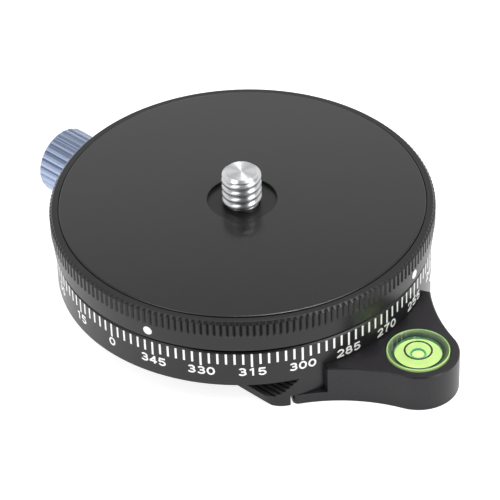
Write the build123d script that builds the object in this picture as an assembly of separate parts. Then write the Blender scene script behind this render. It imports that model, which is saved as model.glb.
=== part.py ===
from build123d import *
import math
import os

# Panoramic tripod head: a graduated base with a clamping dovetail below it, a knurled
# platform that turns on it, a lock knob and an arm with a bullseye level.
# The origin is the centre of the bottom face, at the mouth of the tripod socket.
# +X points along the level arm, -X along the lock knob, and +Z up. Sizes are in millimetres.

# Base and its clamping dovetail
base_dia = 60.1
base_h = 11.4
base_edge = 0.25
dovetail_h = 5.0
dovetail_w = 38.0
lip_h = 1.5
dovetail_corner = 4.2
dovetail_edge = 0.3
rib_count = 6
rib_size = 0.25

# Tripod socket in the middle of the base, with its reducer bush
socket_dia = 9.525
socket_depth = 7.0
socket_mouth = 0.4
boss_dia = 14.0
boss_top = 1.0
bush_len = 6.4
tripod_thread_dia = 6.35
bush_slot_w = 1.5
bush_slot_depth = 1.0

# Friction bearing of the platform inside the base
base_wall = 3.05
flange_step = 4.4
flange_h = 1.2
washer_h = 0.37
ring_h = 1.0
hub_dia = 30.0
brake_dia = 26.0
brake_floor = 2.4
sleeve_wall = 1.0
sleeve_len = 4.6
web_drop = 0.6

# Platform
rim_over = 0.55
platform_h = 5.65
rim_gap = 0.65
band_step = 0.3
knurl_h = 2.85
knurl_count = 188
knurl_depth = 0.3
knurl_share = 0.3
knurl_over = 0.09
platform_edge = 0.44
pad_rim = 1.5
pad_h = 0.6
pad_proud = 0.16
pad_edge = 0.2
pad_gap = 0.12
pad_hole_dia = 11.2
spigot_h = 1.0

# Camera stud, a screw with its head let into the spindle from below
stud_dia = 6.35
stud_out = 5.63
stud_tip = 0.5
stud_neck_dia = 5.2
stud_head_af = 9.5
stud_head_h = 1.6

# Lock: knob, screw and brake shoe
knob_dia = 11.3
knob_len = 11.35
knob_gap = 0.35
knob_edge = 0.5
flute_count = 24
flute_dia = 0.95
flute_depth = 0.34
lock_dia = 4.0
lock_hold = 6.0
lock_relief = 0.15
dog_dia = 1.6
dog_len = 1.6
shoe_dia = 3.2
shoe_len = 4.0
shoe_guide = 4.5

# Level bracket and vial
vial_reach = 6.31
arm_end_r = 6.42
arm_h = 6.5
flare_r = 27.0
block_angle = 23.3
tab_angle = 33.0
tab_h = 1.8
tab_depth = 5.0
tab_corner = 0.9
slot_w = 0.5
arm_edge = 0.2
vial_dia = 10.1
vial_h = 4.6
vial_proud = 0.3
vial_wall = 1.45
vial_top = 0.7
backing_h = 1.0
bubble_dia = 2.4
bubble_h = 0.7

# Screws
m2_dia = 2.0
m2_head_dia = 3.4
m2_head_h = 0.85
m2_len = 4.0
m2_count = 6
m2_inset = 2.05
m2_angle = 30.0
m3_dia = 3.0
m3_head_dia = 5.6
m3_head_h = 1.6
m3_len = 7.6
m3_count = 4
m3_inset = 4.4
m3_angle = 45.0
m25_dia = 2.5
m25_head_dia = 4.2
m25_head_h = 1.1
m25_len = 4.6
m25_angle = 14.0
m25_inset = 2.55
drive_share = 0.3
drive_depth = 0.45
head_rim = 0.12

# Clearances
running = 0.05
thread_fit = 0.03
seat = 0.02
air = 0.3
film = 0.03

# Heights and radii that follow from the sizes above
base_r = base_dia / 2
ring_r = base_r - base_wall
flange_r = ring_r - flange_step
flange_bore_r = flange_r + air
platform_r = base_r + rim_over
pad_r = platform_r - pad_rim
arm_reach = base_r + vial_reach
m2_circle_r = ring_r - m2_inset
m3_circle_r = hub_dia / 2 - m3_inset
m25_circle_r = base_r - m25_inset
platform_z = base_h + rim_gap
platform_top = platform_z + platform_h
pad_z = platform_top + pad_proud - pad_h
ring_z = base_h - ring_h
flange_top = ring_z - washer_h - film
flange_z = flange_top - flange_h
flange_floor = flange_z - washer_h - film
knob_z = base_h / 2
shoe_x = brake_dia / 2 + running
guide_x = brake_dia / 2 + air + shoe_guide
shoe_back = shoe_x + shoe_len
screw_tip = guide_x + lock_relief
knob_x = base_r + knob_gap
web_z = boss_top + socket_depth + web_drop
spigot_z = platform_z + spigot_h
relief_r = base_r - tab_depth


def ring(outer_r, inner_r, z, height):
    """A flat ring on the turning axis, from z upwards."""
    profile = Circle(outer_r) - Circle(inner_r)
    return extrude(Pos(0, 0, z) * profile, height)


def disc(radius, z, height):
    """A round plate on the turning axis, from z upwards."""
    return extrude(Pos(0, 0, z) * Circle(radius), height)


def turned(points):
    """A solid of revolution about Z, from points of radius and height."""
    outline = make_face(Polyline(*[(r, 0, z) for r, z in points], close=True))
    return revolve(outline, Axis.Z)


def rod(radius, x_near, x_far, z):
    """A round bar along -X between two distances from the axis."""
    plane = Plane(origin=(-x_near, 0, z), x_dir=(0, 1, 0), z_dir=(-1, 0, 0))
    return extrude(plane * Circle(radius), x_far - x_near)


def sector(angle, reach):
    """A wedge in plan, open to either side of +X by the angle."""
    corner = reach / math.cos(math.radians(angle))
    side = Vector(corner, 0).rotate(Axis.Z, angle)
    return make_face(Polyline((0, 0), (side.X, -side.Y), (side.X, side.Y), close=True))


def countersunk(dia, head_dia, head_h, length):
    """A countersunk screw with its head's face at the origin and its tip down."""
    drive_r = drive_share * dia
    profile = [
        (0, -drive_depth),
        (drive_r, -drive_depth),
        (drive_r, 0),
        (head_dia / 2, 0),
        (head_dia / 2, -head_rim),
        (dia / 2, -head_h),
        (dia / 2, -length),
        (0, -length),
    ]
    return turned(profile)


def countersunk_hole(dia, head_dia, head_h, depth):
    """The hole for such a screw, with the fit round it."""
    profile = [
        (0, air),
        (head_dia / 2 + thread_fit, air),
        (head_dia / 2 + thread_fit, -head_rim - thread_fit),
        (dia / 2 + thread_fit, -head_h - thread_fit),
        (dia / 2 + thread_fit, -depth),
        (0, -depth),
    ]
    return turned(profile)


def on_circle(radius, count, start, z):
    """Places evenly spaced on a circle round the turning axis."""
    steps = [start + 360 * i / count for i in range(count)]
    return [Pos(0, 0, z) * Rot(0, 0, a) * Pos(radius, 0, 0) for a in steps]


def bracket_places():
    """Places of the two bracket screws, which point up from below."""
    turns = [Rot(0, 0, a) for a in (-m25_angle, m25_angle)]
    return [t * Pos(m25_circle_r, 0, film) * Rot(180, 0, 0) for t in turns]


def dovetail_plan():
    """Plan of the dovetail: as long as the base is wide, with rounded corners."""
    plan = Rectangle(base_dia, dovetail_w) & (Rot(0, 0, 90) * Circle(base_r))
    return fillet(plan.vertices(), dovetail_corner)


def dovetail_profile():
    """Cross-section with an upright lip and a flank that leans in at 45 degrees."""
    half = dovetail_w / 2
    neck = half - (dovetail_h - lip_h)
    e = dovetail_edge
    right = [(half - e, 0), (half, e), (half, lip_h), (neck, dovetail_h)]
    left = [(-y, z) for y, z in reversed(right)]
    return make_face(Plane.YZ * Polyline(*right, *left, close=True))


def flank_ribs():
    """Fine grooves along both flanks, which leave ribs between them."""
    half = dovetail_w / 2
    step = (dovetail_h - lip_h) / (rib_count + 1)
    cuts = []
    for i in range(1, rib_count + 1):
        for side in (-1, 1):
            y = side * (half - i * step)
            z = lip_h + i * step
            plane = Plane(origin=(-base_r, y, z), x_dir=(0, 1, 0), z_dir=(1, 0, 0))
            cuts.append(extrude(plane * Rectangle(rib_size, rib_size), base_dia))
    return cuts


def dovetail():
    """Dovetail along X, ribbed on its flanks and stepped for the level bracket."""
    length = extrude(Pos(-base_r, 0, 0) * dovetail_profile(), base_dia, dir=(1, 0, 0))
    bar = length & extrude(dovetail_plan(), dovetail_h)
    return bar - flank_ribs() - bracket_relief()


def drum():
    """Graduated drum over the dovetail, with its rim broken."""
    plate = Rot(0, 0, 90) * disc(base_r, dovetail_h, base_h - dovetail_h)
    return chamfer(plate.edges().group_by(Axis.Z)[-1], base_edge)


def base_body():
    """Drum and dovetail in one piece, with the bearing, the socket and the bores."""
    body = drum() + dovetail()
    body = body - disc(ring_r, ring_z, base_h)
    body = body - disc(flange_bore_r, flange_floor, base_h)
    pit = ring(brake_dia / 2 + air, boss_dia / 2, brake_floor, base_h)
    over_boss = disc(brake_dia / 2 + air, boss_top + socket_depth, base_h)
    body = body - pit - over_boss
    socket_r = socket_dia / 2
    mouth = [(0, 0), (socket_r + socket_mouth, 0), (socket_r, socket_mouth)]
    body = body - turned(mouth + [(socket_r, socket_depth), (0, socket_depth)])
    body = body - rod(shoe_dia / 2 + running, brake_dia / 2, guide_x, knob_z)
    body = body - rod(lock_dia / 2 + running, guide_x, base_r + air, knob_z)
    screw_hole = countersunk_hole(m2_dia, m2_head_dia, m2_head_h, m2_len + air)
    for place in on_circle(m2_circle_r, m2_count, m2_angle, base_h):
        body = body - place * screw_hole
    bracket_hole = countersunk_hole(m25_dia, m25_head_dia, m25_head_h, m25_len + air)
    for place in bracket_places():
        body = body - place * bracket_hole
    return body


def bracket_relief():
    """The step under the base's edge that takes the tab of the level bracket."""
    half = tab_angle + math.degrees(slot_w / base_r)
    plan = (Circle(base_r + air) - Circle(relief_r)) & sector(half, base_dia)
    return extrude(plan, tab_h + seat)


def circle_meet(first, first_r, second, second_r):
    """Where two circles cross, taking the crossing to the left of first to second."""
    gap = second - first
    along = (first_r**2 - second_r**2 + gap.length**2) / (2 * gap.length)
    across = math.sqrt(first_r**2 - along**2)
    way = gap.normalized()
    return first + way * along + Vector(-way.Y, way.X) * across


def bracket_plan():
    """Half outline mirrored: a round end that runs in a long flare to the drum."""
    end = Vector(arm_reach, 0)
    edge = Vector(base_r + running, 0).rotate(Axis.Z, tab_angle)
    flare = circle_meet(edge, flare_r, end, arm_end_r + flare_r)
    touch = end + (flare - end).normalized() * arm_end_r
    middle = flare + ((touch + edge) * 0.5 - flare).normalized() * flare_r
    start = edge.normalized() * (relief_r + air)
    tip = Vector(arm_reach + arm_end_r, 0)
    bend = end + ((touch - end).normalized() + (tip - end).normalized()).normalized() * arm_end_r
    upper = [
        Line(Vector(relief_r + air, 0), tip),
        ThreePointArc(tip, bend, touch),
        ThreePointArc(touch, middle, edge),
        Line(edge, start),
        ThreePointArc(start, start.rotate(Axis.Z, -tab_angle / 2), Vector(relief_r + air, 0)),
    ]
    half = make_face(upper)
    return half + mirror(half, Plane.XZ)


def vial_seat():
    """The round pocket that holds the vial, from the arm's top down."""
    floor = arm_h + vial_proud - vial_h
    return Pos(arm_reach, 0, 0) * disc(vial_dia / 2 + running, floor, vial_h + air)


def level_bracket():
    """Arm with its vial pocket, and the thin tab that goes under the base."""
    plan = bracket_plan()
    tab = extrude(plan, tab_h)
    upright = tab.edges().filter_by(Axis.Z).sort_by(Axis.Y)
    tab = fillet([upright[0], upright[-1]], tab_corner)
    clear = Circle(base_r + seat)
    block = extrude((plan & sector(block_angle, base_dia)) - clear, arm_h)
    bracket = tab + block
    top = bracket.faces().sort_by(Axis.Z)[-1]
    outline = top.edges().sort_by_distance((0, 0, arm_h))[1:]
    bracket = chamfer(outline, arm_edge)
    bracket = bracket - vial_seat()
    hole = countersunk_hole(m25_dia, m25_head_dia, m25_head_h, m25_len + air)
    for place in bracket_places():
        bracket = bracket - place * hole
    return bracket


def vial_backing():
    """Disc at the bottom of the vial, behind the liquid."""
    floor = arm_h + vial_proud - vial_h
    return Pos(arm_reach, 0, 0) * disc(vial_dia / 2, floor, backing_h)


def vial_case():
    """Clear cup, open downwards, which holds the liquid over the backing."""
    top = arm_h + vial_proud
    floor = top - vial_h + backing_h
    cup = disc(vial_dia / 2, floor, top - floor)
    cup = chamfer(cup.edges().sort_by(Axis.Z)[-1], arm_edge)
    cup = cup - disc(vial_dia / 2 - vial_wall, floor, top - vial_top - floor)
    return Pos(arm_reach, 0, 0) * cup


def vial_liquid():
    """Liquid in the case, with the bubble as a shallow dome cut from its top."""
    top = arm_h + vial_proud - vial_top
    floor = arm_h + vial_proud - vial_h + backing_h
    fill = disc(vial_dia / 2 - vial_wall - seat, floor, top - floor)
    sphere_r = (bubble_h**2 + (bubble_dia / 2) ** 2) / (2 * bubble_h)
    bubble = Pos(0, 0, top - bubble_h + sphere_r) * Sphere(sphere_r)
    return Pos(arm_reach, 0, 0) * (fill - bubble)


def socket_bush():
    """Reducer in the tripod socket, with a slot across its face for a coin."""
    outer = socket_dia / 2 - thread_fit
    bush = ring(outer, tripod_thread_dia / 2, 0, bush_len)
    slot = Box(socket_dia, bush_slot_w, 2 * bush_slot_depth)
    return bush - slot


def retaining_ring():
    """Ring that closes the bearing, flush with the rim of the base."""
    plate = ring(ring_r - running, hub_dia / 2 + air, ring_z, ring_h)
    hole = countersunk_hole(m2_dia, m2_head_dia, m2_head_h, ring_h + air)
    for place in on_circle(m2_circle_r, m2_count, m2_angle, base_h):
        plate = plate - place * hole
    return plate


def spindle():
    """Turning hub: spigot in the platform, bearing flange and brake drum."""
    bore_r = boss_dia / 2 + running + sleeve_wall + seat
    drum_floor = brake_floor + 2 * air
    profile = [
        (bore_r, drum_floor),
        (brake_dia / 2, drum_floor),
        (brake_dia / 2, flange_z),
        (flange_r, flange_z),
        (flange_r, flange_top),
        (hub_dia / 2, flange_top),
        (hub_dia / 2, spigot_z),
        (0, spigot_z),
        (0, web_z),
        (bore_r, web_z),
    ]
    hub = turned(profile)
    hub = hub - disc(stud_neck_dia / 2 + thread_fit, web_z, platform_top)
    pocket = RegularPolygon((stud_head_af + running) / 2, 6, major_radius=False)
    hub = hub - extrude(Pos(0, 0, web_z) * pocket, stud_head_h + seat)
    hole = disc(m3_dia / 2 + thread_fit, -m3_len - air, m3_len + air)
    for place in on_circle(m3_circle_r, m3_count, m3_angle, pad_z - thread_fit):
        hub = hub - place * hole
    return hub


def pivot_bush():
    """Sleeve pressed in the spindle, which runs on the boss of the base."""
    inner = boss_dia / 2 + running
    return ring(inner + sleeve_wall, inner, web_z - air - sleeve_len, sleeve_len)


def lower_washer():
    """Friction washer between the base and the flange."""
    return ring(flange_bore_r - seat, hub_dia / 2 + air, flange_floor, washer_h)


def upper_washer():
    """Friction washer between the flange and the retaining ring."""
    return ring(flange_bore_r - seat, hub_dia / 2 + air, ring_z - washer_h, washer_h)


def knurl_plan():
    """Plan of the knurled rim: a circle with upright grooves cut round it."""
    half = knurl_share * 2 * math.pi * platform_r / knurl_count
    wide = half * (knurl_depth + knurl_over) / knurl_depth
    far = platform_r + knurl_over
    corners = [(platform_r - knurl_depth, 0), (far, wide), (far, -wide)]
    groove = make_face(Polyline(*corners, close=True))
    grooves = [Rot(0, 0, 360 * i / knurl_count) * groove for i in range(knurl_count)]
    return Circle(platform_r) - grooves


def turntable():
    """Platform with its knurled rim, the pad's recess and the spigot's seat."""
    rim_z = platform_top - knurl_h
    rim = extrude(Pos(0, 0, rim_z) * knurl_plan(), knurl_h)
    lid = [
        (0, rim_z),
        (platform_r, rim_z),
        (platform_r, platform_top - platform_edge),
        (platform_r - platform_edge, platform_top),
        (0, platform_top),
    ]
    body = (rim & turned(lid)) + disc(platform_r - band_step, platform_z, rim_z - platform_z)
    body = body - disc(pad_r + pad_gap, pad_z, pad_h)
    body = body - disc(stud_neck_dia / 2 + air, platform_z, platform_h)
    body = body - disc(hub_dia / 2 + seat, platform_z, spigot_h + seat)
    hole = countersunk_hole(m3_dia, m3_head_dia, m3_head_h, platform_h)
    for place in on_circle(m3_circle_r, m3_count, m3_angle, pad_z):
        body = body - place * hole
    return body


def top_pad():
    """Thin disc in the platform's recess, a little proud of its rim."""
    plate = ring(pad_r, pad_hole_dia / 2, pad_z, pad_h)
    edges = plate.edges().group_by(Axis.Z)[-1]
    return chamfer(edges, pad_edge)


def camera_stud():
    """Screw with a hexagonal head let into the spindle and an undercut below its thread."""
    head = extrude(Pos(0, 0, web_z) * RegularPolygon(stud_head_af / 2, 6, major_radius=False), stud_head_h)
    thread_z = pad_z + pad_h
    neck = disc(stud_neck_dia / 2, web_z, thread_z - web_z)
    thread = disc(stud_dia / 2, thread_z, platform_top + stud_out - thread_z)
    thread = chamfer(thread.edges().sort_by(Axis.Z)[-1], stud_tip)
    return head + neck + thread


def brake_shoe():
    """Round shoe with a hollow face that fits the brake drum."""
    shoe = rod(shoe_dia / 2, brake_dia / 2, shoe_back, knob_z)
    shoe = shoe - disc(shoe_x, 0, base_h)
    return shoe - rod(dog_dia / 2 + running, shoe_back - dog_len - seat, shoe_back, knob_z)


def lock_screw():
    """Screw of the knob, with a plain tip that turns in the shoe."""
    tip = rod(dog_dia / 2, shoe_back - dog_len, screw_tip, knob_z)
    return tip + rod(lock_dia / 2, screw_tip, knob_x + lock_hold, knob_z)


def lock_knob():
    """Round knob with straight flutes, bevelled at both ends."""
    knob = rod(knob_dia / 2, knob_x, knob_x + knob_len, knob_z)
    knob = chamfer(knob.edges().filter_by(GeomType.CIRCLE), knob_edge)
    centre_r = knob_dia / 2 + flute_dia / 2 - flute_depth
    flute = rod(flute_dia / 2, knob_x - air, knob_x + knob_len + air, centre_r)
    flutes = [Pos(0, 0, knob_z) * Rot(360 * i / flute_count, 0, 0) * flute for i in range(flute_count)]
    knob = knob - flutes
    return knob - rod(lock_dia / 2 + seat, knob_x, knob_x + lock_hold + seat, knob_z)


def screw_group(screw, places):
    """Equal screws at their places, as one group."""
    return Compound([place * screw for place in places])


def retaining_screws():
    """Six small screws of the retaining ring."""
    screw = countersunk(m2_dia, m2_head_dia, m2_head_h, m2_len)
    return screw_group(screw, on_circle(m2_circle_r, m2_count, m2_angle, base_h - thread_fit))


def platform_screws():
    """Four screws that join the platform to the spindle."""
    screw = countersunk(m3_dia, m3_head_dia, m3_head_h, m3_len)
    return screw_group(screw, on_circle(m3_circle_r, m3_count, m3_angle, pad_z - thread_fit))


def bracket_screws():
    """Two screws put in from below, through the tab into the base."""
    screw = countersunk(m25_dia, m25_head_dia, m25_head_h, m25_len)
    return screw_group(screw, bracket_places())


parts = {
    "base_body": base_body,
    "socket_bush": socket_bush,
    "retaining_ring": retaining_ring,
    "retaining_screws": retaining_screws,
    "lower_washer": lower_washer,
    "upper_washer": upper_washer,
    "level_bracket": level_bracket,
    "bracket_screws": bracket_screws,
    "vial_backing": vial_backing,
    "vial_liquid": vial_liquid,
    "vial_case": vial_case,
    "spindle": spindle,
    "pivot_bush": pivot_bush,
    "turntable": turntable,
    "platform_screws": platform_screws,
    "top_pad": top_pad,
    "camera_stud": camera_stud,
    "brake_shoe": brake_shoe,
    "lock_screw": lock_screw,
    "lock_knob": lock_knob,
}

os.makedirs("parts", exist_ok=True)
for name, build in parts.items():
    export_step(build(), f"parts/{name}.step")
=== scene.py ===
"""Looks of a panoramic tripod head: finishes, scale, thread, knurl and bubble vial on its solids."""

import math

import bmesh
import bpy
import numpy as np
from bpy.props import FloatProperty, FloatVectorProperty, IntProperty, PointerProperty
from mathutils import Matrix, Vector


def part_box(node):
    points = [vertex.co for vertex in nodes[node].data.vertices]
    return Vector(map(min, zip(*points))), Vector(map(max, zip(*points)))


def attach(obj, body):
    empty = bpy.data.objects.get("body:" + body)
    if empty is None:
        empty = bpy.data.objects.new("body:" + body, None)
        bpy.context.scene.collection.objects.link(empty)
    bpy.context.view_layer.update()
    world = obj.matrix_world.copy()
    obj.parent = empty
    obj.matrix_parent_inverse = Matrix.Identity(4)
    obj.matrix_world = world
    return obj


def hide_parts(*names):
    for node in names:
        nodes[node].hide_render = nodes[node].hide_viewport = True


bl_info = {
    "name": "Panoramic tripod head",
    "version": (1, 0, 0),
    "blender": (4, 5, 0),
    "location": "View3D > Sidebar > Tripod head",
    "description": "Makes the finish, the scale and the fine forms of a panoramic tripod head",
    "category": "Add Mesh",
}

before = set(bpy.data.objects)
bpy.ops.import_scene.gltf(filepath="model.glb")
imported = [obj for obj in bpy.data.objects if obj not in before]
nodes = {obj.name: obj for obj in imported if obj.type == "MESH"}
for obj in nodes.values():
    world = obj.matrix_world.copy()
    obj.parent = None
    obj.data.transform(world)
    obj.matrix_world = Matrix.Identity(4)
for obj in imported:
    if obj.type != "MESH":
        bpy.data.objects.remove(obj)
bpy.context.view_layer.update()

MM = 0.001

# The camera stands where the photograph's lens stood, worked out from the round rims and the scale.
CAMERA_AZIMUTH = math.radians(43.716)
CAMERA_ELEVATION = math.radians(38.547)
CAMERA_ROLL = math.radians(-1.979)
CAMERA_TARGET = Vector((9.367, -8.403, 17.4)) * MM
CAMERA_DISTANCE = 429.69 * MM
CAMERA_LENS = 199.82

# Radii and heights that the frame gives, in metres.
DRUM_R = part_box("base_body")[1].y
PLATFORM_LOW, PLATFORM_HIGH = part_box("turntable")
PLATFORM_R = round(PLATFORM_HIGH.y / MM, 2) * MM
PAD_LOW, PAD_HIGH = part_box("top_pad")
PAD_R = PAD_HIGH.y
STUD_LOW, STUD_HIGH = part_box("camera_stud")
KNOB_LOW, KNOB_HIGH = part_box("lock_knob")
KNOB_Z = (KNOB_LOW.z + KNOB_HIGH.z) / 2
CASE_LOW, CASE_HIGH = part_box("vial_case")
VIAL_CENTRE = Vector(((CASE_LOW.x + CASE_HIGH.x) / 2, 0, 0))

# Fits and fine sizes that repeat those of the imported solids, in metres.
PAD_HOLE_R = 5.6 * MM
PAD_GAP = 0.12 * MM
RIM_CHAMFER = 0.44 * MM
SPIGOT_R = 15.02 * MM
SPIGOT_H = 1.02 * MM
NECK_HOLE_R = 2.9 * MM
NECK_R = 2.6 * MM
STUD_R = 3.175 * MM
STUD_HEAD_H = 1.6 * MM
HEX_HALF_WIDTH = 4.75 * MM
KNOB_R = 5.65 * MM
KNOB_BORE_R = 2.02 * MM
KNOB_BORE_DEPTH = 6.02 * MM

# Forms that are finer here than in the solids, in metres, and the powers that shape them.
STUD_CHAMFER = 0.66 * MM
THREAD_DEPTH = 0.58 * MM
THREAD_POWER = 2.2
FLUTE_POWER = 0.6
KNOB_EDGE = 0.5 * MM
KNOB_FACE_EDGE = 0.6 * MM
KNOB_FACE_R = 0.62 * KNOB_R
KNOB_DISH_R = 0.58 * KNOB_R
KNOB_DISH_DEPTH = 0.25 * MM
KNOB_CORE_R = 0.8 * KNOB_R
VIAL_GAP = 0.14 * MM
VIAL_RIM = 0.32 * MM
VIAL_WALL = 0.42 * MM
BUBBLE_LIP = 0.28 * MM
CIRCLE_DEPTH = 0.26 * MM
WINDOW_DEPTH = 0.22 * MM
WINDOW_GAP = 0.06 * MM
WINDOW_H = 0.1 * MM
FILM = 0.02 * MM

# How finely the meshes are cut, and when their points and edges count as one or as sharp.
MERGE = 0.0005 * MM
SHARP = math.radians(32)
SHADING_MARGIN = 0.2
THREAD_COLUMNS = 144
THREAD_ROWS = 120
RUN_OUT_TURNS = 0.5
STUD_TOP_RINGS = (0.97, 0.6, 0.25, 0)
FLUTE_COLUMNS = 16
KNOB_EDGE_STEPS = 6
PAD_COLUMNS = 360
VIAL_COLUMNS = 128
DOT_COLUMNS = 28
DOT_RINGS = 4
KNURL_SHARE = 0.3
KNURL_COLUMNS = (-0.5, -0.36, -0.3, -0.15, 0.0, 0.15, 0.3, 0.36)

# The scale: its readings grow clockwise seen from above, and the arm lies at 270.
ZERO_ANGLE = 270
LINE_STEP = 2.5
NUMBER_STEP = 15

# The strokes of each figure in a box one wide and one high. Four numbers are a straight stroke's
# two ends. Six are an arc: its middle, its two radii, and the angles that it runs between.
FIGURES = {
    "0": [(0.5, 0.5, 0.5, 0.5, 0, 360)],
    "1": [(0.62, -0.1, 0.62, 1.1), (0.62, 0.98, 0.12, 0.76)],
    "2": [(0.5, 0.7, 0.48, 0.3, 168, -38), (0.9, 0.5, 0.04, 0.04), (-0.14, 0, 1.1, 0)],
    "3": [(0.5, 0.75, 0.42, 0.25, 158, -90), (0.5, 0.26, 0.5, 0.26, 90, -158), (0.32, 0.51, 0.56, 0.51)],
    "4": [(0.78, 1.0, 0, 0.26), (-0.14, 0.26, 1.14, 0.26), (0.76, -0.1, 0.76, 1.1)],
    "5": [(0.08, 1.0, 1.02, 1.0), (0.14, 1.06, 0.06, 0.46), (0.5, 0.3, 0.5, 0.3, 148, -158)],
    "6": [(0.5, 0.3, 0.5, 0.3, 0, 360), (0.56, 0.5, 0.56, 0.5, 200, 42)],
    "7": [(-0.12, 1.0, 1.1, 1.0), (1.3, -0.08, 0.94, 1.06, 180, 112)],
    "8": [(0.5, 0.76, 0.4, 0.24, 0, 360), (0.5, 0.26, 0.5, 0.26, 0, 360)],
    "9": [(0.5, 0.7, 0.5, 0.3, 0, 360), (0.44, 0.5, 0.56, 0.5, 20, -138)],
}
ARC_POINTS = 25
DOT_COUNT = 4
DOT_ANGLE = 14

# The stage. The sky: its brightness at each sine of the height over the horizon. The lights: a name,
# the side in degrees from the camera's, the height in degrees, the size in metres and the power in watts.
SKY = ((0.0, 0.9), (0.5, 1.0), (0.57, 1.6), (0.665, 0.02), (0.74, 0.02), (0.86, 0.8), (1.0, 1.0))
LIGHTS = (
    ("left_box", -55, 52, 0.9, 8.0),
    ("right_box", 58, 48, 0.8, 13.0),
    ("top_box", 148, 76, 0.45, 16.0),
)
LIGHT_DISTANCE = 1.8

# The dark side of the studio: its height, the cosines of its outer and inner edge, and its brightness.
DARK_SIDE_RISE = math.radians(32)
DARK_SIDE = (0.74, 0.9)
DARK_SIDE_LIGHT = 0.08

# The table: half its width, its own light, and its height just under the foot.
FLOOR_HALF = 2.0
FLOOR_GLOW = 0.85
FLOOR_Z = -0.0001


def linear(code):
    """Linear colour with full alpha of an sRGB hex code."""
    parts = [int(code[i : i + 2], 16) / 255 for i in (0, 2, 4)]
    return tuple(c / 12.92 if c <= 0.04045 else ((c + 0.055) / 1.055) ** 2.4 for c in parts) + (1.0,)


def length(name, default, description):
    """A size that a user may change, in metres."""
    return FloatProperty(
        name=name, description=description, default=default, min=0, unit="LENGTH", precision=5
    )


def colour(name, code, description):
    """A colour that a user may change, from its sRGB hex code."""
    return FloatVectorProperty(
        name=name, description=description, default=linear(code), size=4, min=0, max=1, subtype="COLOR"
    )


class HeadSizes(bpy.types.PropertyGroup):
    """Sizes of what is drawn on or cut into the solids."""

    knurl_teeth: IntProperty(
        name="Knurl teeth", description="Teeth round the platform's rim", default=188, min=3
    )
    knurl_depth: length("Knurl depth", 0.3 * MM, "Depth of the grooves between the teeth")
    knurl_low: length("Knurl start", 14.85 * MM, "Height of the knurl's lower edge")
    band_r: length("Band radius", 30.3 * MM, "Radius of the smooth band under the knurl")
    dot_dia: length("Dot diameter", 1.5 * MM, "Diameter of the four index dots on the band")
    tick_top: length("Tick top", 11.16 * MM, "Height where the scale lines start")
    tick_minor: length("Short line end", 9.14 * MM, "Height where the short lines end")
    tick_major: length("Long line end", 8.64 * MM, "Height where the numbered lines end")
    tick_w: length("Line width", 0.34 * MM, "Width of a scale line")
    digit_top: length("Number top", 8.44 * MM, "Height of the tops of the numbers")
    digit_h: length("Number height", 1.56 * MM, "Height of the numbers")
    digit_w: length("Digit width", 1.3 * MM, "Width of one digit")
    digit_advance: length("Digit spacing", 1.52 * MM, "Distance along the rim from one digit to the next")
    stroke_w: length("Stroke width", 0.3 * MM, "Width of the digits' strokes")
    mark_proud: length("Mark thickness", 0.012 * MM, "How far the white filling stands out")
    thread_pitch: length("Thread pitch", 1.27 * MM, "Rise of the stud's thread in one turn")
    flutes: IntProperty(name="Knob flutes", description="Flutes round the lock knob", default=24, min=3)
    flute_depth: length("Flute depth", 0.34 * MM, "Depth of the knob's flutes")
    ring_dia: length("Mark circle", 4.5 * MM, "Diameter of the circle printed in the vial")
    ring_w: length("Mark circle width", 0.3 * MM, "Width of the printed circle's line")
    vial_disc: length("Liquid", 7.5 * MM, "Diameter of the lime disc seen in the vial")
    vial_depth: length("Liquid depth", 1.1 * MM, "How deep under the rim the lime disc seems to lie")
    bubble_dia: length("Bubble", 2.4 * MM, "Diameter of the bubble")


class HeadColours(bpy.types.PropertyGroup):
    """Colours of the finishes."""

    black: colour("Black anodising", "1b1b1c", "Drum, platform and foot")
    cast: colour("Blasted black", "1d1b1e", "Level arm")
    pad: colour("Pad", "1f1f1f", "Top disc")
    steel: colour("Stainless steel", "d9dadc", "Camera stud")
    blue: colour("Steel blue anodising", "9ba8c2", "Lock knob")
    marks: colour("Marks", "fafaf8", "Lines, numbers and dots")
    lime: colour("Lime", "dbeca0", "Vial liquid")
    teal: colour("Teal", "3f8a72", "Shaded edge of the vial's liquid")
    floor: colour("Floor", "b4b4b4", "Table of the stage")


def add(tree, kind, inputs=None, **settings):
    """Adds a node, sets its own settings, and gives its inputs values or other nodes' outputs."""
    made = tree.nodes.new(kind)
    for name, value in settings.items():
        setattr(made, name, value)
    for name, value in (inputs or {}).items():
        if isinstance(value, bpy.types.NodeSocket):
            tree.links.new(value, made.inputs[name])
        else:
            made.inputs[name].default_value = value
    return made


def new_material(name):
    """An empty material and its node tree."""
    made = bpy.data.materials.new(name)
    made.use_nodes = True
    made.node_tree.nodes.clear()
    return made, made.node_tree


def put_out(tree, shader):
    """Links a shader to the material's output."""
    add(tree, "ShaderNodeOutputMaterial", {"Surface": shader.outputs[0]})


def cylinder_place(tree):
    """Radius and height of the shaded point about the turning axis, as one vector in millimetres."""
    place = add(tree, "ShaderNodeTexCoord").outputs["Object"]
    parts = add(tree, "ShaderNodeSeparateXYZ", {"Vector": place})
    flat = add(tree, "ShaderNodeCombineXYZ", {"X": parts.outputs["X"], "Y": parts.outputs["Y"]})
    reach = add(tree, "ShaderNodeVectorMath", {0: flat.outputs[0]}, operation="LENGTH")
    pair = add(tree, "ShaderNodeCombineXYZ", {"X": reach.outputs["Value"], "Y": parts.outputs["Z"]})
    scaled = add(tree, "ShaderNodeVectorMath", {0: pair.outputs[0], "Scale": 1 / MM}, operation="SCALE")
    return scaled.outputs[0]


def solid_place(tree, grain_mm):
    """Object coordinates scaled so that one unit is one grain of that many millimetres."""
    place = add(tree, "ShaderNodeTexCoord").outputs["Object"]
    scaled = add(tree, "ShaderNodeVectorMath", {0: place, "Scale": 1 / (grain_mm * MM)}, operation="SCALE")
    return scaled.outputs[0]


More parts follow.
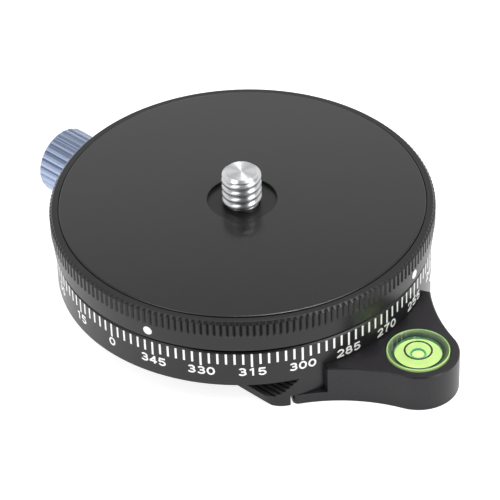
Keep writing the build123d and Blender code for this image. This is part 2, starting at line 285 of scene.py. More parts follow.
def spread(tree, value, low, high):
    """Maps a texture's 0 to 1 to a narrower range."""
    return add(tree, "ShaderNodeMapRange", {"Value": value, "To Min": low, "To Max": high}).outputs[0]


def tint(tree, value, dark, light):
    """Mixes two colours by a texture."""
    made = add(tree, "ShaderNodeMix", {0: value, 6: dark, 7: light}, data_type="RGBA")
    return made.outputs[2]


def shade(base, share):
    """A colour made darker or lighter by a share of itself."""
    return tuple(min(1.0, c * share) for c in base[:3]) + (1.0,)


def turned_black(name, base, roughness):
    """Black anodised aluminium, turned: satin, with faint rings from the tool that break up the highlight."""
    made, tree = new_material(name)
    feed_mm = 0.12
    place = cylinder_place(tree)
    rings = add(tree, "ShaderNodeTexNoise", {"Vector": place, "Scale": 1 / feed_mm, "Detail": 2})
    cloud = add(tree, "ShaderNodeTexNoise", {"Vector": solid_place(tree, 6.0), "Scale": 1.0, "Detail": 3})
    bump = add(tree, "ShaderNodeBump", {"Height": rings.outputs[0], "Strength": 0.05, "Distance": 0.02 * MM})
    shader = add(
        tree,
        "ShaderNodeBsdfPrincipled",
        {
            "Base Color": tint(tree, cloud.outputs[0], shade(base, 0.9), shade(base, 1.1)),
            "Roughness": spread(tree, rings.outputs[0], roughness - 0.03, roughness + 0.03),
            "IOR": 1.4,
            "Normal": bump.outputs[0],
        },
    )
    put_out(tree, shader)
    return made


def blasted_black(name, base):
    """Black anodised over fine blasting: matt and sandy, with grains about a tenth of a millimetre wide.
    They are drawn at 0.28 mm, because the real ones are too fine for the render."""
    made, tree = new_material(name)
    grain = add(tree, "ShaderNodeTexNoise", {"Vector": solid_place(tree, 0.28), "Scale": 1.0, "Detail": 2})
    bump = add(tree, "ShaderNodeBump", {"Height": grain.outputs[0], "Strength": 0.5, "Distance": 0.05 * MM})
    shader = add(
        tree,
        "ShaderNodeBsdfPrincipled",
        {
            "Base Color": tint(tree, grain.outputs[0], shade(base, 0.6), shade(base, 1.8)),
            "Roughness": spread(tree, grain.outputs[0], 0.30, 0.42),
            "IOR": 1.38,
            "Normal": bump.outputs[0],
        },
    )
    put_out(tree, shader)
    return made


def moulded_pad(name, base):
    """Smooth black rubber disc, pressed flat: an even satin with the faintest mottling."""
    made, tree = new_material(name)
    cloud = add(tree, "ShaderNodeTexNoise", {"Vector": solid_place(tree, 4.0), "Scale": 1.0, "Detail": 4})
    skin = add(tree, "ShaderNodeTexNoise", {"Vector": solid_place(tree, 0.15), "Scale": 1.0, "Detail": 1})
    bump = add(tree, "ShaderNodeBump", {"Height": skin.outputs[0], "Strength": 0.02, "Distance": 0.01 * MM})
    shader = add(
        tree,
        "ShaderNodeBsdfPrincipled",
        {
            "Base Color": tint(tree, cloud.outputs[0], shade(base, 0.94), shade(base, 1.06)),
            "Roughness": spread(tree, cloud.outputs[0], 0.17, 0.19),
            "IOR": 1.5,
            "Normal": bump.outputs[0],
        },
    )
    put_out(tree, shader)
    return made


def turned_steel(name, base):
    """Stainless steel, turned: the tool's rings stretch each highlight square to themselves, into wedges on
    the end face and stripes up the thread."""
    made, tree = new_material(name)
    mark_mm = 0.3
    place = cylinder_place(tree)
    cloud = add(tree, "ShaderNodeTexNoise", {"Vector": place, "Scale": 1 / mark_mm, "Detail": 2})
    along = add(tree, "ShaderNodeTangent", direction_type="UV_MAP", uv_map="around")
    shader = add(
        tree,
        "ShaderNodeBsdfPrincipled",
        {
            "Base Color": tint(tree, cloud.outputs[0], shade(base, 0.92), shade(base, 1.05)),
            "Metallic": 1.0,
            "Roughness": spread(tree, cloud.outputs[0], 0.28, 0.36),
            "Anisotropic": 0.8,
            "Anisotropic Rotation": 0.25,
            "Tangent": along.outputs[0],
        },
    )
    put_out(tree, shader)
    return made


def blue_anodised(name, base):
    """Aluminium anodised steel blue: a metal sheen with the dye's colour in it."""
    made, tree = new_material(name)
    grain = add(tree, "ShaderNodeTexNoise", {"Vector": solid_place(tree, 0.3), "Scale": 1.0, "Detail": 3})
    shader = add(
        tree,
        "ShaderNodeBsdfPrincipled",
        {
            "Base Color": tint(tree, grain.outputs[0], shade(base, 0.92), shade(base, 1.08)),
            "Metallic": 1.0,
            "Roughness": spread(tree, grain.outputs[0], 0.26, 0.34),
        },
    )
    put_out(tree, shader)
    return made


def mark_filling(name, base):
    """White filling of the engraved marks: matt, chalky, with slightly uneven cover."""
    made, tree = new_material(name)
    cover = add(tree, "ShaderNodeTexNoise", {"Vector": solid_place(tree, 0.25), "Scale": 1.0, "Detail": 2})
    shader = add(
        tree,
        "ShaderNodeBsdfPrincipled",
        {
            "Base Color": tint(tree, cover.outputs[0], shade(base, 0.93), base),
            "Roughness": 0.6,
            "IOR": 1.5,
        },
    )
    put_out(tree, shader)
    return made


def plain_metal(name, code, roughness, grain_mm):
    """Machined metal of the inner pieces: dull, with cloudy tool marks."""
    made, tree = new_material(name)
    base = linear(code)
    place = solid_place(tree, grain_mm)
    cloud = add(tree, "ShaderNodeTexNoise", {"Vector": place, "Scale": 1.0, "Detail": 3})
    shader = add(
        tree,
        "ShaderNodeBsdfPrincipled",
        {
            "Base Color": tint(tree, cloud.outputs[0], shade(base, 0.85), shade(base, 1.1)),
            "Metallic": 1.0,
            "Roughness": spread(tree, cloud.outputs[0], roughness - 0.05, roughness + 0.05),
        },
    )
    put_out(tree, shader)
    return made


def plain_plastic(name, code):
    """Natural slippery plastic of the washers: milky, waxy and a little uneven."""
    made, tree = new_material(name)
    base = linear(code)
    cloud = add(tree, "ShaderNodeTexNoise", {"Vector": solid_place(tree, 2.0), "Scale": 1.0, "Detail": 3})
    shader = add(
        tree,
        "ShaderNodeBsdfPrincipled",
        {
            "Base Color": tint(tree, cloud.outputs[0], shade(base, 0.9), base),
            "Roughness": 0.45,
            "IOR": 1.5,
        },
    )
    put_out(tree, shader)
    return made


def clear_acrylic(name):
    """Moulded clear acrylic: polished, so it shows as sharp rims and what lies behind it."""
    made, tree = new_material(name)
    flow = add(tree, "ShaderNodeTexNoise", {"Vector": solid_place(tree, 1.5), "Scale": 1.0, "Detail": 1})
    bump = add(tree, "ShaderNodeBump", {"Height": flow.outputs[0], "Strength": 0.03, "Distance": 0.02 * MM})
    shader = add(
        tree,
        "ShaderNodeBsdfPrincipled",
        {
            "Base Color": linear("f4fff0"),
            "Roughness": 0.03,
            "IOR": 1.49,
            "Transmission Weight": 1.0,
            "Normal": bump.outputs[0],
        },
    )
    put_out(tree, shader)
    return made


def rounded(corners, steps=4):
    """Profile through corners of radius, height and rounding, all in metres.
    Each rounding is an arc tangent to both sides, with one more point just off each end
    so that the flat sides stay flat in the shading."""
    found = []
    count = len(corners)
    for i, (r, z, size) in enumerate(corners):
        here = np.array((r, z))
        before = np.array(corners[i - 1][:2]) - here
        after = np.array(corners[(i + 1) % count][:2]) - here
        if size == 0:
            found.append(here[None])
            continue
        before /= np.linalg.norm(before)
        after /= np.linalg.norm(after)
        half = math.acos(np.clip(before @ after, -1, 1)) / 2
        tangent = size / math.tan(half)
        middle = here + (before + after) / np.linalg.norm(before + after) * size / math.sin(half)
        start = here + before * tangent - middle
        end = here + after * tangent - middle
        turn = math.atan2(start[0] * end[1] - start[1] * end[0], start @ end)
        angles = np.linspace(0, turn, steps + 1)[:, None]
        across = np.array((-start[1], start[0]))
        arc = middle + start * np.cos(angles) + across * np.sin(angles)
        spare = size * SHADING_MARGIN
        found.append(np.vstack([arc[:1] + before * spare, arc, arc[-1:] + after * spare]))
    return np.vstack(found)


def revolved(profile, angles, radius=None):
    """Points of a profile of radius and height carried round Z. radius, if given, is a function of the
    profile's radius, its height and the angle, and returns the radius there."""
    r = np.repeat(profile[:, :1], len(angles), axis=1)
    z = np.repeat(profile[:, 1:], len(angles), axis=1)
    if radius:
        r = radius(r, z, angles[None, :])
    return np.stack([r * np.cos(angles), r * np.sin(angles), z], axis=-1)


def full_turn(count):
    """Angles evenly spaced round a circle."""
    return np.arange(count) * 2 * math.pi / count


def surface(name, grid, around=True, closed=False):
    """Mesh of a grid of points whose rows run along the profile and whose columns run round it.
    Going round anticlockwise and up the profile, the faces look outwards. Points that meet, as at
    a pole, become one. The map called around holds how far round and how far along each corner lies."""
    rows, columns = grid.shape[:2]
    index = np.arange(rows * columns).reshape(rows, columns)
    place = np.stack(np.meshgrid(np.arange(columns + 1) / columns, np.arange(rows + 1) / rows), axis=-1)
    if closed:
        index = np.vstack([index, index[:1]])
    if around:
        index = np.hstack([index, index[:, :1]])
    place = place[: index.shape[0], : index.shape[1]]
    return shell(name, grid.reshape(-1, 3), corners_of(index), corners_of(place))


def corners_of(table):
    """The four corners of each cell of a table, anticlockwise, one row for each cell."""
    cells = [table[:-1, :-1], table[:-1, 1:], table[1:, 1:], table[1:, :-1]]
    stacked = np.stack(cells, axis=2)
    return stacked.reshape(-1, 4, *table.shape[2:])


def shell(name, points, faces, spots=None):
    """An object at the origin from points and four-cornered faces, smooth but for its sharp edges."""
    mesh = bpy.data.meshes.new(name)
    mesh.from_pydata(points.tolist(), [], faces.tolist())
    if spots is not None:
        layer = mesh.uv_layers.new(name="around")
        layer.data.foreach_set("uv", spots.reshape(-1).astype(np.float32))
    work = bmesh.new()
    work.from_mesh(mesh)
    bmesh.ops.remove_doubles(work, verts=work.verts, dist=MERGE)
    work.to_mesh(mesh)
    work.free()
    mesh.shade_smooth()
    mesh.set_sharp_from_angle(angle=SHARP)
    made = bpy.data.objects.new(name, mesh)
    bpy.context.scene.collection.objects.link(made)
    return made


def placed(made, material, body, slot, *replaced):
    """Gives a piece its finish, its body and the nodes that it stands for. The slot is not used."""
    made.data.materials.append(material)
    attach(made, body)
    if replaced:
        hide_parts(*replaced)
    return made


def dress(material, *names):
    """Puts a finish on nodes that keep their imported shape."""
    for name in names:
        nodes[name].material_slots[0].material = material


def ready(name):
    """A finish that the platform's step has made."""
    found = bpy.data.materials.get(name)
    if found is None:
        raise RuntimeError(f"The platform has to be made first, because its step makes the finish {name}")
    return found


def knurled(sizes):
    """Radius of the knurled rim: grooves with straight sides, evenly spaced, cut to a set depth.
    The groove's depth falls off in line with the distance from its middle, and the rim's own profile
    holds where it lies deeper."""
    pitch = 2 * math.pi / sizes.knurl_teeth

    def radius(r, z, angle):
        """The deeper of the rim's profile and the groove, where the knurl is."""
        off = np.abs((angle / pitch + 0.5) % 1 - 0.5)
        depth = sizes.knurl_depth * np.clip(1 - off / KNURL_SHARE, 0, 1)
        cut = (z > sizes.knurl_low - MERGE) & (r > sizes.band_r)
        return np.where(cut, np.minimum(r, PLATFORM_R - depth), r)

    return radius


class MakePlatform(bpy.types.Operator):
    """Knurled platform with its smooth band, and the four white index dots on the band"""

    bl_idname = "tripod_head.platform"
    bl_label = "Platform"

    def execute(self, context):
        sizes, tones = context.scene.head_sizes, context.scene.head_colours
        black = turned_black("black_anodised_turned", tuple(tones.black), 0.3)
        top, floor, low = PLATFORM_HIGH.z, PAD_LOW.z, PLATFORM_LOW.z
        recess_r = PAD_R + PAD_GAP
        corners = [
            (NECK_HOLE_R, low + SPIGOT_H, 0),
            (SPIGOT_R, low + SPIGOT_H, 0),
            (SPIGOT_R, low, 0),
            (sizes.band_r, low, 0.12 * MM),
            (sizes.band_r, sizes.knurl_low, 0),
            (PLATFORM_R, sizes.knurl_low, 0.06 * MM),
            (PLATFORM_R, top - RIM_CHAMFER, 0.08 * MM),
            (PLATFORM_R - RIM_CHAMFER, top, 0.08 * MM),
            (recess_r, top, 0.05 * MM),
            (recess_r, floor, 0),
            (NECK_HOLE_R, floor, 0),
        ]
        pitch = 2 * math.pi / sizes.knurl_teeth
        within = np.array(KNURL_COLUMNS) * pitch
        angles = (np.arange(sizes.knurl_teeth)[:, None] * pitch + within[None, :]).reshape(-1)
        grid = revolved(rounded(corners), angles, knurled(sizes))
        made = surface("platform", grid, closed=True)
        placed(made, black, "platform", "platform_black", "turntable")
        marks = mark_filling("mark_filling", tuple(tones.marks))
        dots = index_dots(sizes)
        placed(dots, marks, "platform", "platform_black")
        return {"FINISHED"}


def index_dots(sizes):
    """Four round dots wrapped on the band: a disc's rings of points, bent to the band's radius."""
    middle = (PLATFORM_LOW.z + sizes.knurl_low) / 2
    rings = np.linspace(0, sizes.dot_dia / 2, DOT_RINGS)
    turns = full_turn(DOT_COLUMNS)
    across = rings[:, None] * np.cos(turns)
    up = rings[:, None] * np.sin(turns) + middle
    out = np.full_like(across, sizes.band_r + sizes.mark_proud)
    edge = [a[-1:] for a in (across, up, out)]
    across, up, out = (np.vstack([a, b]) for a, b in zip((across, up, out), edge))
    out[-1] -= 2 * sizes.mark_proud
    index = np.arange(across.size).reshape(across.shape)
    index = np.hstack([index, index[:, :1]])
    points, faces = [], []
    for i in range(DOT_COUNT):
        angle = math.radians(DOT_ANGLE + 360 * i / DOT_COUNT) + across / sizes.band_r
        points.append(np.stack([out * np.cos(angle), out * np.sin(angle), up], axis=-1).reshape(-1, 3))
        faces.append(corners_of(index)[:, ::-1] + i * across.size)
    return shell("index_dots", np.vstack(points), np.vstack(faces))


class MakePad(bpy.types.Operator):
    """Thin disc in the platform's recess"""

    bl_idname = "tripod_head.pad"
    bl_label = "Top pad"

    def execute(self, context):
        finish = moulded_pad("rubber_pressed", tuple(context.scene.head_colours.pad))
        hole_r = PAD_HOLE_R
        corners = [
            (hole_r, PAD_LOW.z, 0),
            (PAD_R, PAD_LOW.z, 0),
            (PAD_R, PAD_HIGH.z, 0.18 * MM),
            (hole_r, PAD_HIGH.z, 0.08 * MM),
        ]
        grid = revolved(rounded(corners), full_turn(PAD_COLUMNS))
        placed(surface("pad", grid, closed=True), finish, "platform", "pad_rubber", "top_pad")
        return {"FINISHED"}


class MakeStud(bpy.types.Operator):
    """Camera stud with its thread cut as a real helix"""

    bl_idname = "tripod_head.stud"
    bl_label = "Camera stud"

    def execute(self, context):
        sizes = context.scene.head_sizes
        steel = turned_steel("stainless_steel_turned", tuple(context.scene.head_colours.steel))
        grid = threaded_stud(sizes.thread_pitch)
        placed(surface("stud", grid), steel, "platform", "stud_steel", "camera_stud")
        return {"FINISHED"}


def threaded_stud(pitch):
    """Radius of the stud at a height and an angle. In the thread it falls from a rounded crest to a
    narrow root and goes up by one pitch in each turn: the fall grows with a power of the distance
    from the crest. The cone of the tip's chamfer cuts it off.
    Below the thread stand the neck and the six-sided head, whose radius follows a hexagon."""
    top = STUD_HIGH.z
    angles = full_turn(THREAD_COLUMNS)
    z = np.linspace(PAD_LOW.z, top, THREAD_ROWS)[:, None]
    phase = (z / pitch - angles / (2 * math.pi)) % 1
    fall = np.abs(2 * phase - 1) ** THREAD_POWER
    r = np.minimum(STUD_R - THREAD_DEPTH * fall, STUD_R - STUD_CHAMFER + top - z)
    run_out = np.clip((z - PAD_LOW.z) / (RUN_OUT_TURNS * pitch), 0, 1)
    r = NECK_R + (r - NECK_R) * run_out
    hexagon = HEX_HALF_WIDTH / np.cos((angles + math.pi / 6) % (math.pi / 3) - math.pi / 6)
    neck = np.full_like(angles, NECK_R)
    head_z = STUD_LOW.z + STUD_HEAD_H
    below = [(0 * angles, STUD_LOW.z), (hexagon, STUD_LOW.z), (hexagon, head_z), (neck, head_z)]
    above = [(r[-1] * share, top) for share in STUD_TOP_RINGS]
    rows = [*below, *zip(r, z[:, 0]), *above]
    return np.stack([ring_points(radius, height, angles) for radius, height in rows])


def ring_points(radius, height, angles):
    """One ring of points: a radius at each angle, all at one height."""
    return np.stack([radius * np.cos(angles), radius * np.sin(angles), 0 * angles + height], axis=-1)


class MakeKnob(bpy.types.Operator):
    """Fluted lock knob"""

    bl_idname = "tripod_head.knob"
    bl_label = "Lock knob"

    def execute(self, context):
        sizes = context.scene.head_sizes
        blue = blue_anodised("aluminium_anodised_blue", tuple(context.scene.head_colours.blue))
        span = KNOB_HIGH.x - KNOB_LOW.x
        face_z = span - KNOB_DISH_DEPTH
        corners = [
            (0, KNOB_BORE_DEPTH, 0),
            (KNOB_BORE_R, KNOB_BORE_DEPTH, 0),
            (KNOB_BORE_R, 0, 0.1 * MM),
            (KNOB_R, 0, KNOB_EDGE),
            (KNOB_R, span, KNOB_FACE_EDGE),
            (KNOB_FACE_R, span, 0.15 * MM),
            (KNOB_DISH_R, face_z, 0.15 * MM),
            (0, face_z, 0),
        ]
        count = sizes.flutes * FLUTE_COLUMNS
        grid = revolved(rounded(corners, KNOB_EDGE_STEPS), full_turn(count), fluted(sizes))
        turned = np.stack([KNOB_HIGH.x - grid[..., 2], grid[..., 1], grid[..., 0] + KNOB_Z], axis=-1)
        placed(surface("knob", turned), blue, "knob", "knob_blue", "lock_knob")
        return {"FINISHED"}


def fluted(sizes):
    """Radius of the knob: round-bottomed flutes between rounded ridges, as the absolute value of
    a sine to a power, deepest in the middle of a flute. The knob's own profile holds where it lies deeper."""

    def radius(r, z, angle):
        """The deeper of the knob's profile and the flute, outside its core."""
        ridge = np.abs(np.sin(angle * sizes.flutes / 2))
        groove = KNOB_R - sizes.flute_depth * (1 - ridge**FLUTE_POWER)
        return np.where(r > KNOB_CORE_R, np.minimum(r, groove), r)

    return radius


class MakeVial(bpy.types.Operator):
    """Bubble vial: clear case with painted light on its rim, lime liquid with its bubble, and printed circle
    """

    bl_idname = "tripod_head.vial"
    bl_label = "Bubble vial"

    def execute(self, context):
        sizes, tones = context.scene.head_sizes, context.scene.head_colours
        lime, teal = tuple(tones.lime), tuple(tones.teal)
        high, disc_r, mouth_r = CASE_HIGH.z, sizes.vial_disc / 2, CASE_HIGH.y - VIAL_RIM
        # The case's colours are painted shade at the liquid's edge and painted light at the rim, with a faint
        # painted glow.
        lit = acrylic_by_radius("acrylic_rim_painted_light", bowl_tones(disc_r, mouth_r), 0.08, 0.12)
        bowl = about_vial("vial_bowl", bowl_corners(sizes, disc_r, mouth_r))
        placed(bowl, lit, "base", "clear_case", "vial_case", "vial_backing")
        # The liquid's colours hold painted shade in teal at the bubble's lip and at its wall, and its
        # emission is a painted glow.
        fluid = acrylic_by_radius("spirit_lime", liquid_tones(sizes, disc_r, lime, teal), 0.05, 0.5)
        liquid = about_vial("vial_fluid", liquid_corners(sizes, disc_r))
        placed(liquid, fluid, "base", "lime_liquid", "vial_liquid")
        # The thin teal wall at the liquid's edge is a sheet of painted shade, with a faint painted glow.
        edge_tones = [(0, shade(teal, 0.6)), (CASE_HIGH.y, teal)]
        edge = acrylic_by_radius("spirit_edge_painted_shade", edge_tones, 0.05, 0.1)
        wall = band(disc_r - FILM, disc_r - 2 * FILM, high - sizes.vial_depth, VIAL_WALL)
        placed(about_vial("vial_wall", wall, closed=True), edge, "base", None)
        ink = mark_filling("black_ink_printed", linear("101412"))
        circle_r = sizes.ring_dia / 2
        circle = band(circle_r, circle_r - sizes.ring_w, high - CIRCLE_DEPTH, FILM)
        placed(about_vial("vial_circle", circle, closed=True), ink, "base", None)
        window = band(mouth_r - WINDOW_GAP, 0, high - WINDOW_DEPTH, WINDOW_H)
        clear = clear_acrylic("acrylic_clear_moulded")
        placed(about_vial("vial_window", window), clear, "base", "clear_case")
        return {"FINISHED"}


def bowl_corners(sizes, disc_r, mouth_r):
    """Section of the case: a cup with a narrow rim, whose wall slopes in and down to the liquid."""
    rim_r, high = CASE_HIGH.y - VIAL_GAP, CASE_HIGH.z
    disc_z = high - sizes.vial_depth
    return [
        (0, CASE_LOW.z, 0),
        (rim_r, CASE_LOW.z, 0),
        (rim_r, high, 0.14 * MM),
        (mouth_r, high, 0.08 * MM),
        (mouth_r - 0.05 * MM, high - 0.25 * MM, 0.05 * MM),
        (disc_r, disc_z + VIAL_WALL, 0),
        (disc_r, disc_z - FILM, 0),
        (0, disc_z - FILM, 0),
    ]


def bowl_tones(disc_r, mouth_r):
    """Colours of the case from its middle outwards: painted shade at the liquid's edge, painted light at the
    rim.
    """
    return [
        (0, linear("2c332d")),
        (disc_r * 1.03, linear("232a25")),
        (mouth_r * 0.9, linear("525d4b")),
        (mouth_r * 0.985, linear("86957a")),
        (mouth_r * 1.002, linear("b6dc88")),
    ]


def liquid_corners(sizes, disc_r):
    """Section of the liquid's face: flat, with the bubble's lip standing up round a hollow."""
    disc_z, bubble_r = CASE_HIGH.z - sizes.vial_depth, sizes.bubble_dia / 2
    return [
        (disc_r - FILM, disc_z - FILM / 2, 0),
        (disc_r - FILM, disc_z, 0),
        (bubble_r + 0.1 * MM, disc_z, 0),
        (bubble_r, disc_z + BUBBLE_LIP, 0.04 * MM),
        (bubble_r - 0.14 * MM, disc_z + BUBBLE_LIP, 0.04 * MM),
        (bubble_r - 0.2 * MM, disc_z - FILM / 2, 0),
        (0, disc_z - FILM / 2, 0),
    ]


def liquid_tones(sizes, disc_r, lime, teal):
    """Colours of the liquid from its middle outwards: pale in the bubble, painted shade in teal at the
    bubble's lip, lime beyond it, and painted shade in teal again at the wall."""
    bubble_r = sizes.bubble_dia / 2
    return [
        (0, shade(lime, 1.12)),
        (bubble_r * 0.76, shade(lime, 1.05)),
        (bubble_r * 0.84, shade(teal, 1.1)),
        (bubble_r * 0.97, shade(teal, 1.8)),
        (bubble_r * 1.15, lime),
        (disc_r * 0.975, lime),
        (disc_r * 0.99, shade(teal, 1.3)),
    ]


def about_vial(name, corners, closed=False):
    """A profile of radius, height and rounding carried round the vial's axis."""
    grid = revolved(rounded(corners), full_turn(VIAL_COLUMNS)) + np.array(VIAL_CENTRE)
    return surface(name, grid, closed=closed)


def band(outer_r, inner_r, z, height):
    """Corners of a flat ring's section, from its two radii, its lower height and its thickness."""
    return [(inner_r, z, 0), (outer_r, z, 0), (outer_r, z + height, 0), (inner_r, z + height, 0)]


def acrylic_by_radius(name, stops, roughness, glow):
    """Moulded acrylic whose colour changes with the distance from the vial's axis: painted light and shade
    that stand in for the light that the clear body bends, and a painted glow of the same colours. Each stop
    is a radius and a linear colour."""
    made, tree = new_material(name)
    place = add(tree, "ShaderNodeTexCoord").outputs["Object"]
    shifted = add(tree, "ShaderNodeVectorMath", {0: place, 1: tuple(VIAL_CENTRE)}, operation="SUBTRACT")
    flat = add(tree, "ShaderNodeVectorMath", {0: shifted.outputs[0], 1: (1, 1, 0)}, operation="MULTIPLY")
    reach = add(tree, "ShaderNodeVectorMath", {0: flat.outputs[0]}, operation="LENGTH")
    share = add(tree, "ShaderNodeMath", {0: reach.outputs["Value"], 1: CASE_HIGH.y}, operation="DIVIDE")
    ramp = add(tree, "ShaderNodeValToRGB", {"Fac": share.outputs[0]})
    for i, (radius, tone) in enumerate(stops):
        spot = ramp.color_ramp.elements[i] if i < 2 else ramp.color_ramp.elements.new(1)
        spot.position = radius / CASE_HIGH.y
        spot.color = tone
    shader = add(
        tree,
        "ShaderNodeBsdfPrincipled",
        {
            "Base Color": ramp.outputs[0],
            "Roughness": roughness,
            "IOR": 1.49,
            # The emission is a painted glow: the acrylic is no lamp.
            "Emission Color": ramp.outputs[0],
            "Emission Strength": glow,
        },
    )
    put_out(tree, shader)
    return made


class MakeScale(bpy.types.Operator):
    """White lines and numbers of the scale round the drum"""

    bl_idname = "tripod_head.scale"
    bl_label = "Scale"

    def execute(self, context):
        sizes = context.scene.head_sizes
        marks = ready("mark_filling")
        placed(scale_lines(sizes), marks, "base", "base_black")
        placed(scale_numbers(sizes), marks, "base", "base_black")
        return {"FINISHED"}


def scale_lines(sizes):
    """Lines round the drum, each a thin block bent to the drum's radius, long at every number."""
    count = int(360 / LINE_STEP)
    reading = np.arange(count) * LINE_STEP
    angle = np.radians(ZERO_ANGLE - reading)
    low = np.where(reading % NUMBER_STEP == 0, sizes.tick_major, sizes.tick_minor)
    half = sizes.tick_w / 2 / DRUM_R
    side = np.array((-1, 1, 1, -1, -1, 1, 1, -1))
    upper = np.array((0, 0, 1, 1, 0, 0, 1, 1))
    outer = np.array((1, 1, 1, 1, 0, 0, 0, 0))
    turn = angle[:, None] + side * half
    radius = DRUM_R + np.where(outer == 1, sizes.mark_proud, -sizes.mark_proud)
    height = np.where(upper == 1, sizes.tick_top, low[:, None])
    points = np.stack([radius * np.cos(turn), radius * np.sin(turn), height], axis=-1)
    sides = np.array([(0, 1, 2, 3), (5, 4, 7, 6), (0, 4, 5, 1), (1, 5, 6, 2), (2, 6, 7, 3), (3, 7, 4, 0)])
    faces = (np.arange(count) * 8)[:, None, None] + sides
    return shell("scale_lines", points.reshape(-1, 3), faces.reshape(-1, 4))


def stroke_path(stroke):
    """Points along the middle of a stroke."""
    if len(stroke) == 4:
        return np.linspace(stroke[:2], stroke[2:], 2)
    x, y, wide, high, start, end = stroke
    turn = np.radians(np.linspace(start, end, ARC_POINTS))
    return np.stack([x + wide * np.cos(turn), y + high * np.sin(turn)], axis=-1)


def ribbon(path, width):
    """A flat bar along a path: each point goes half a width to both sides, square to the path."""
    along = np.gradient(path, axis=0)
    along /= np.linalg.norm(along, axis=1)[:, None]
    aside = np.stack([-along[:, 1], along[:, 0]], axis=-1) * width / 2
    return np.stack([path + aside, path - aside], axis=0)


def scale_numbers(sizes):
    """Numbers round the drum. Their flat strokes are bent to it: across becomes an angle, which is
    the distance over the radius, and up stays a height. Each stroke is a thin bar with four sides."""
    span = np.array((sizes.digit_w - sizes.stroke_w, sizes.digit_h - sizes.stroke_w))
    points, faces, used = [], [], 0
    for reading in range(0, 360, NUMBER_STEP):
        text = str(reading)
        for place, figure in enumerate(text):
            left = (place - (len(text) - 1) / 2) * sizes.digit_advance - span[0] / 2
            corner = np.array((left, sizes.digit_top - sizes.digit_h + sizes.stroke_w / 2))
            for stroke in FIGURES[figure]:
                flat = ribbon(stroke_path(stroke) * span + corner, sizes.stroke_w)
                rims = np.stack([flat[0], flat[1], flat[1], flat[0]])
                out = sizes.mark_proud * np.array((1, 1, -1, -1))[:, None]
                turn = math.radians(ZERO_ANGLE - reading) + rims[..., 0] / DRUM_R
                reach = DRUM_R + out
                bent = np.stack([reach * np.cos(turn), reach * np.sin(turn), rims[..., 1]], axis=-1)
                index = np.arange(used, used + bent.shape[0] * bent.shape[1]).reshape(bent.shape[:2])
                faces.append(corners_of(np.vstack([index, index[:1]]))[:, ::-1])
                faces.append(np.array([index[::-1, 0], index[:, -1]]))
                points.append(bent.reshape(-1, 3))
                used += index.size
    return shell("scale_numbers", np.vstack(points), np.vstack(faces))


class DressParts(bpy.types.Operator):
    """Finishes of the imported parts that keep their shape"""

    bl_idname = "tripod_head.dress"
    bl_label = "Finishes of the packed parts"

    def execute(self, context):
        tones = context.scene.head_colours
        dress(ready("black_anodised_turned"), "base_body")
        dress(blasted_black("black_anodised_blasted", tuple(tones.cast)), "level_bracket")
        plated = plain_metal("steel_zinc_plated", "b9bcc0", 0.35, 1.0)
        dress(plated, "lock_screw", "retaining_screws", "platform_screws")
        dress(plain_metal("steel_turned", "c4c5c7", 0.3, 1.5), "socket_bush")
        dress(plain_metal("steel_blackened", "2b2b2d", 0.45, 0.8), "bracket_screws")
        dress(plain_metal("aluminium_turned", "cfd0d2", 0.32, 2.0), "spindle", "retaining_ring")
        dress(plain_metal("bronze_turned", "b08a4f", 0.4, 1.0), "pivot_bush", "brake_shoe")
        dress(plain_plastic("polyethylene_punched", "ecebe4"), "lower_washer", "upper_washer")
        return {"FINISHED"}


class MakeStage(bpy.types.Operator):
    """Pale floor, soft studio light and the camera of the photograph"""

    bl_idname = "tripod_head.stage"
    bl_label = "Stage"

    def execute(self, context):
        make_floor(tuple(context.scene.head_colours.floor), FLOOR_GLOW)
        make_sky(context.scene)
        for name, side, rise, size, power in LIGHTS:
            soft_light(name, side, rise, size, power)
        make_camera(context.scene)
        context.scene.view_settings.view_transform = "Standard"
        return {"FINISHED"}


def make_floor(base, glow):
    """A wide flat table of opal acrylic that is lit from below, so that it shows hardly any shadow."""
    made, tree = new_material("acrylic_opal_lit")
    cloud = add(tree, "ShaderNodeTexNoise", {"Vector": solid_place(tree, 80.0), "Scale": 1.0, "Detail": 2})
    body = tint(tree, cloud.outputs[0], shade(base, 0.99), base)
    shader = add(
        tree,
        "ShaderNodeBsdfPrincipled",
        {"Base Color": body, "Roughness": 0.8, "Emission Color": linear("ffffff"), "Emission Strength": glow},
    )
    put_out(tree, shader)
    steps = np.linspace(-FLOOR_HALF, FLOOR_HALF, 9)
    x, y = np.meshgrid(steps, steps)
    floor = surface("floor", np.stack([x, y, np.full_like(x, FLOOR_Z)], axis=-1), around=False)
    floor.data.materials.append(made)


def make_sky(scene):
    """Light from all round: bright near the horizon, dim above, and bright again overhead. The side
    that the camera stands on is dark, as a studio is behind the photographer."""
    world = bpy.data.worlds.new("studio")
    world.use_nodes = True
    tree = world.node_tree
    tree.nodes.clear()
    way = add(tree, "ShaderNodeTexCoord").outputs["Generated"]
    rise = add(tree, "ShaderNodeSeparateXYZ", {"Vector": way}).outputs["Z"]
    ramp = add(tree, "ShaderNodeValToRGB", {"Fac": rise})
    stops = ramp.color_ramp.elements
    while len(stops) < len(SKY):
        stops.new(0.5)
    for stop, (position, value) in zip(stops, SKY):
        stop.position = position
        stop.color = (value, value, value, 1)
    flat = math.cos(DARK_SIDE_RISE)
    side = (math.sin(CAMERA_AZIMUTH) * flat, -math.cos(CAMERA_AZIMUTH) * flat, math.sin(DARK_SIDE_RISE))
    near = add(tree, "ShaderNodeVectorMath", {0: way, 1: side}, operation="DOT_PRODUCT").outputs["Value"]
    edges = {"From Min": DARK_SIDE[0], "From Max": DARK_SIDE[1], "To Min": 1.0, "To Max": DARK_SIDE_LIGHT}
    share = add(tree, "ShaderNodeMapRange", {"Value": near, **edges})
    back = add(tree, "ShaderNodeBackground", {"Color": ramp.outputs[0], "Strength": share.outputs[0]})
    add(tree, "ShaderNodeOutputWorld", {"Surface": back.outputs[0]})
    scene.world = world


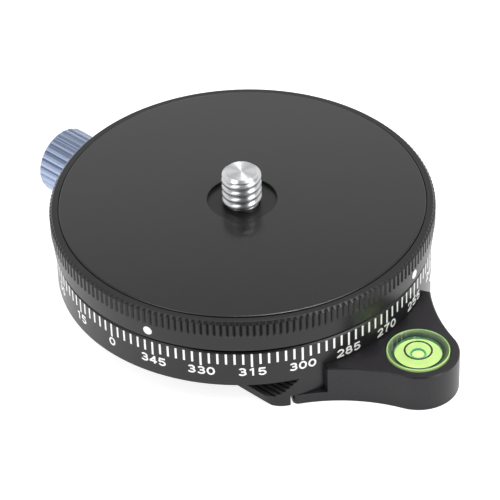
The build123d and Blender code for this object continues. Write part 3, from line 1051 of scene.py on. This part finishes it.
def soft_light(name, side, rise, size, power):
    """A square soft box that looks at the object, at an angle from the camera's side and over the floor."""
    turn = CAMERA_AZIMUTH + math.radians(side)
    lift = math.radians(rise)
    way = Vector((math.sin(turn) * math.cos(lift), -math.cos(turn) * math.cos(lift), math.sin(lift)))
    data = bpy.data.lights.new(name, "AREA")
    data.energy = power
    data.size = size
    made = bpy.data.objects.new(name, data)
    made.location = way * LIGHT_DISTANCE
    made.rotation_euler = way.to_track_quat("Z", "Y").to_euler()
    bpy.context.scene.collection.objects.link(made)


def make_camera(scene):
    """The camera, turned to the photograph's view by its azimuth, elevation and roll."""
    back = Vector(
        (
            math.sin(CAMERA_AZIMUTH) * math.cos(CAMERA_ELEVATION),
            -math.cos(CAMERA_AZIMUTH) * math.cos(CAMERA_ELEVATION),
            math.sin(CAMERA_ELEVATION),
        )
    )
    level = Vector((math.cos(CAMERA_AZIMUTH), math.sin(CAMERA_AZIMUTH), 0))
    upright = back.cross(level)
    right = level * math.cos(CAMERA_ROLL) + upright * math.sin(CAMERA_ROLL)
    up = upright * math.cos(CAMERA_ROLL) - level * math.sin(CAMERA_ROLL)
    data = bpy.data.cameras.new("photo_camera")
    data.lens = CAMERA_LENS
    data.sensor_width = 36
    data.clip_start, data.clip_end = 0.01, 20
    made = bpy.data.objects.new("photo_camera", data)
    turn = Matrix((right, up, back)).transposed().to_4x4()
    made.matrix_world = Matrix.Translation(CAMERA_TARGET + back * CAMERA_DISTANCE) @ turn
    scene.collection.objects.link(made)
    scene.camera = made


class HeadPanel(bpy.types.Panel):
    """Panel with the sizes, the colours and a button for each piece"""

    bl_idname = "VIEW3D_PT_tripod_head"
    bl_label = "Tripod head"
    bl_space_type = "VIEW_3D"
    bl_region_type = "UI"
    bl_category = "Tripod head"

    def draw(self, context):
        for step in STEPS:
            self.layout.operator(step.bl_idname)
        for group in (context.scene.head_sizes, context.scene.head_colours):
            box = self.layout.box()
            for name in group.bl_rna.properties.keys():
                if name not in ("rna_type", "name"):
                    box.prop(group, name)


STEPS = (MakeStage, MakePlatform, MakePad, MakeStud, MakeKnob, MakeVial, MakeScale, DressParts)
CLASSES = (HeadSizes, HeadColours, *STEPS, HeadPanel)


def register():
    for item in CLASSES:
        bpy.utils.register_class(item)
    bpy.types.Scene.head_sizes = PointerProperty(type=HeadSizes)
    bpy.types.Scene.head_colours = PointerProperty(type=HeadColours)


def unregister():
    del bpy.types.Scene.head_colours
    del bpy.types.Scene.head_sizes
    for item in reversed(CLASSES):
        bpy.utils.unregister_class(item)


def main():
    register()
    bpy.ops.tripod_head.stage()
    bpy.ops.tripod_head.platform()
    bpy.ops.tripod_head.pad()
    bpy.ops.tripod_head.stud()
    bpy.ops.tripod_head.knob()
    bpy.ops.tripod_head.vial()
    bpy.ops.tripod_head.scale()
    bpy.ops.tripod_head.dress()


if __name__ == "__main__":
    main()
